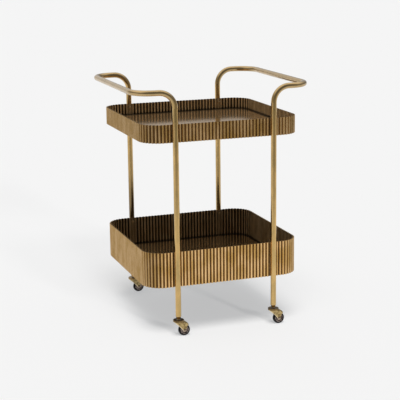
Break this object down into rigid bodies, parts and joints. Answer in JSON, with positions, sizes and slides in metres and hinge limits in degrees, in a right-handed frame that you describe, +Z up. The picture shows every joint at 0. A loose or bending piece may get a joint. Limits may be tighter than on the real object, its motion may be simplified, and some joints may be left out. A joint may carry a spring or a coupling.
{
  "type": "bar cart",
  "caption": "Two-tier bar cart with fluted brass trays, rounded corners, bent tube end frames that form the handles, and hooded swivel casters.",
  "frame": {"origin": "on the floor under the middle of the cart, centre of the bounding box's base", "axes": "+Z up; X along the cart between its two handles, casters trailing to +X at rest; Y from front to back"},
  "size_m": [0.6276, 0.57, 0.83],
  "materials": {
    "tube_brass": "brushed antique brass plating on round tube",
    "fluted_brass": "brushed antique brass on fluted sheet, darker in the grooves",
    "floor_bronze": "dark bronze, mirror-like",
    "underside_bronze": "dull dark bronze",
    "screw_brass": "satin brass",
    "caster_brass": "polished brass, lightly aged",
    "dark_brass": "darkened brass",
    "bare_steel": "plain zinc-plated steel",
    "axle_steel": "bright zinc-plated steel",
    "hub_steel": "satin nickel-plated steel",
    "tyre_black": "matt black rubber"
  },
  "bodies": {
    "frame": {"left_end_frame": "tube_brass", "right_end_frame": "tube_brass", "upper_tray_wall": "fluted_brass", "lower_tray_wall": "fluted_brass", "upper_tray_floor": "floor_bronze", "lower_tray_floor": "floor_bronze", "upper_floor_channels": "underside_bronze", "lower_floor_channels": "underside_bronze", "upper_tray_screws": "screw_brass", "lower_tray_screws": "screw_brass", "upper_tray_washers": "screw_brass", "lower_tray_washers": "screw_brass", "upper_tray_inserts": "bare_steel", "lower_tray_inserts": "bare_steel", "front_left_leg_ferrule": "caster_brass", "front_left_caster_stem": "bare_steel", "front_left_swivel_cup": "dark_brass", "front_right_leg_ferrule": "caster_brass", "front_right_caster_stem": "bare_steel", "front_right_swivel_cup": "dark_brass", "back_left_leg_ferrule": "caster_brass", "back_left_caster_stem": "bare_steel", "back_left_swivel_cup": "dark_brass", "back_right_leg_ferrule": "caster_brass", "back_right_caster_stem": "bare_steel", "back_right_swivel_cup": "dark_brass"},
    "front_left_caster": {"front_left_caster_fork": "caster_brass", "front_left_swivel_balls": "bare_steel", "front_left_axle_bush": "bare_steel", "front_left_axle_bolt": "axle_steel", "front_left_axle_nut": "axle_steel"},
    "front_left_wheel": {"front_left_wheel_hub": "hub_steel", "front_left_tyre": "tyre_black"},
    "front_right_caster": {"front_right_caster_fork": "caster_brass", "front_right_swivel_balls": "bare_steel", "front_right_axle_bush": "bare_steel", "front_right_axle_bolt": "axle_steel", "front_right_axle_nut": "axle_steel"},
    "front_right_wheel": {"front_right_wheel_hub": "hub_steel", "front_right_tyre": "tyre_black"},
    "back_left_caster": {"back_left_caster_fork": "caster_brass", "back_left_swivel_balls": "bare_steel", "back_left_axle_bush": "bare_steel", "back_left_axle_bolt": "axle_steel", "back_left_axle_nut": "axle_steel"},
    "back_left_wheel": {"back_left_wheel_hub": "hub_steel", "back_left_tyre": "tyre_black"},
    "back_right_caster": {"back_right_caster_fork": "caster_brass", "back_right_swivel_balls": "bare_steel", "back_right_axle_bush": "bare_steel", "back_right_axle_bolt": "axle_steel", "back_right_axle_nut": "axle_steel"},
    "back_right_wheel": {"back_right_wheel_hub": "hub_steel", "back_right_tyre": "tyre_black"}
  },
  "joints": [
    {"name": "front_left_swivel", "type": "hinge", "parent": "frame", "child": "front_left_caster", "pos_m": [-0.1718, -0.2665, 0.05], "axis": [0, 0, 1], "continuous": true},
    {"name": "front_left_roll", "type": "hinge", "parent": "front_left_caster", "child": "front_left_wheel", "pos_m": [-0.1529, -0.2665, 0.02], "axis": [0, 1, 0], "continuous": true},
    {"name": "front_right_swivel", "type": "hinge", "parent": "frame", "child": "front_right_caster", "pos_m": [0.1718, -0.2665, 0.05], "axis": [0, 0, 1], "continuous": true},
    {"name": "front_right_roll", "type": "hinge", "parent": "front_right_caster", "child": "front_right_wheel", "pos_m": [0.1907, -0.2665, 0.02], "axis": [0, 1, 0], "continuous": true},
    {"name": "back_left_swivel", "type": "hinge", "parent": "frame", "child": "back_left_caster", "pos_m": [-0.1718, 0.2665, 0.05], "axis": [0, 0, 1], "continuous": true},
    {"name": "back_left_roll", "type": "hinge", "parent": "back_left_caster", "child": "back_left_wheel", "pos_m": [-0.1529, 0.2665, 0.02], "axis": [0, 1, 0], "continuous": true},
    {"name": "back_right_swivel", "type": "hinge", "parent": "frame", "child": "back_right_caster", "pos_m": [0.1718, 0.2665, 0.05], "axis": [0, 0, 1], "continuous": true},
    {"name": "back_right_roll", "type": "hinge", "parent": "back_right_caster", "child": "back_right_wheel", "pos_m": [0.1907, 0.2665, 0.02], "axis": [0, 1, 0], "continuous": true}
  ]
}
